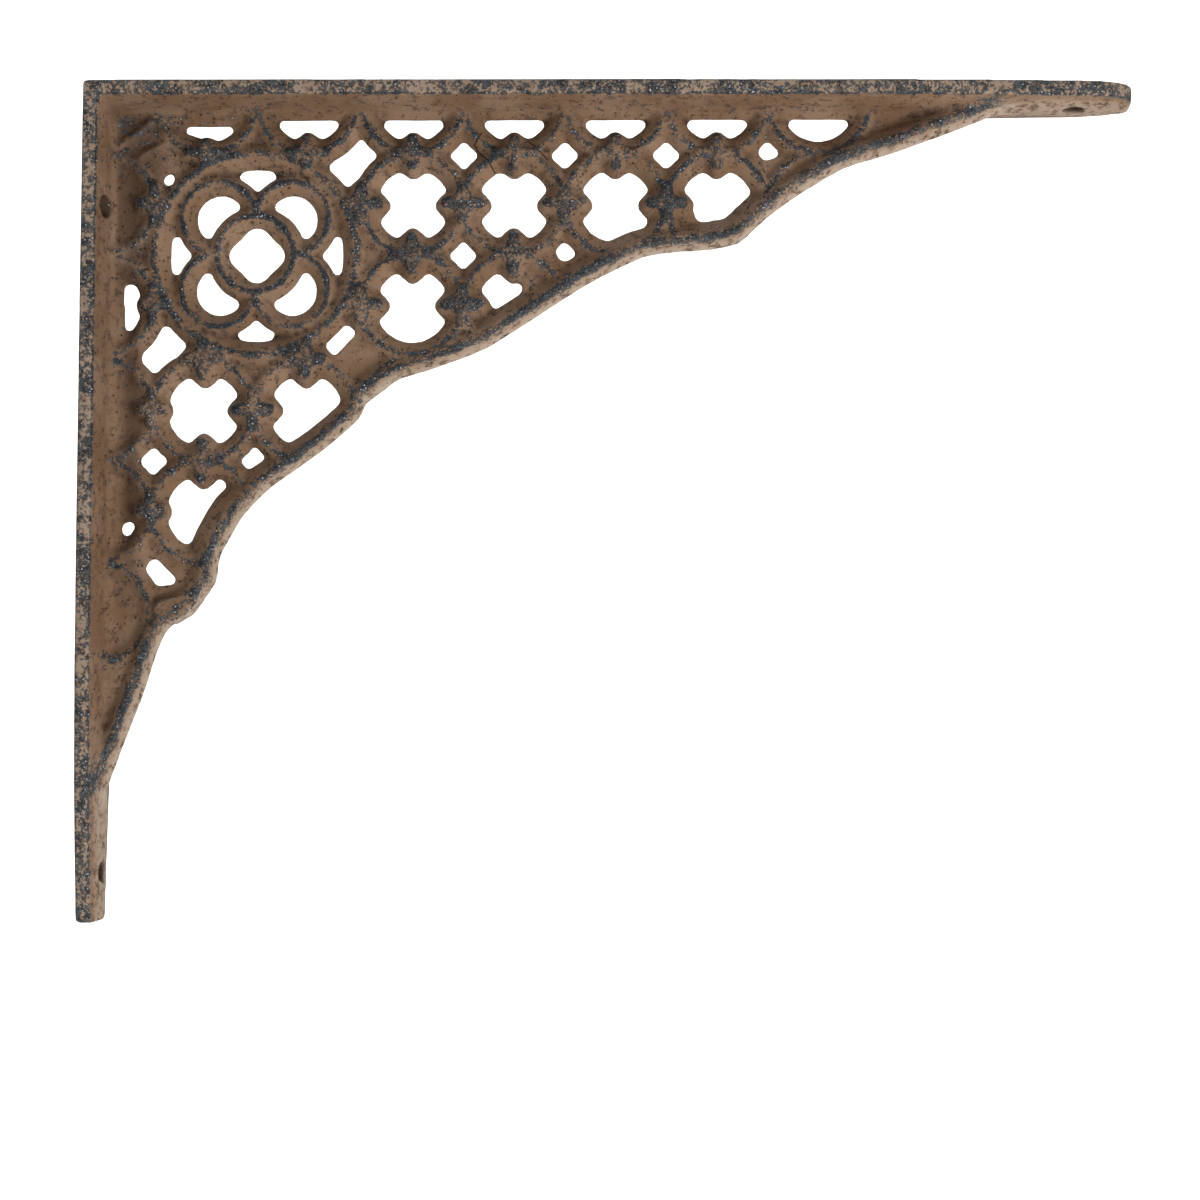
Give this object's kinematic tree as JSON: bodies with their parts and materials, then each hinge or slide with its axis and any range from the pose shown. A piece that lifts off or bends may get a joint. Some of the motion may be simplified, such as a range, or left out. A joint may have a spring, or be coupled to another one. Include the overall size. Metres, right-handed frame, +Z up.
{
  "type": "ornate cast iron shelf bracket",
  "caption": "Angled cast iron shelf bracket with an openwork web of circles and crosses, a round rosette near the corner and a sloping rim.",
  "frame": {"origin": "on the wall arm's flat back face, on its centre line, 75 mm below the shelf face", "axes": "+X out from the wall along the shelf arm, +Z up, Y across the straps; the web's mid-plane is Y = 0"},
  "size_m": [0.248, 0.022, 0.198],
  "materials": {
    "cast_iron": "matte rust brown with dark worn edges"
  },
  "bodies": {
    "root": {"bracket": "cast_iron"}
  },
  "joints": []
}
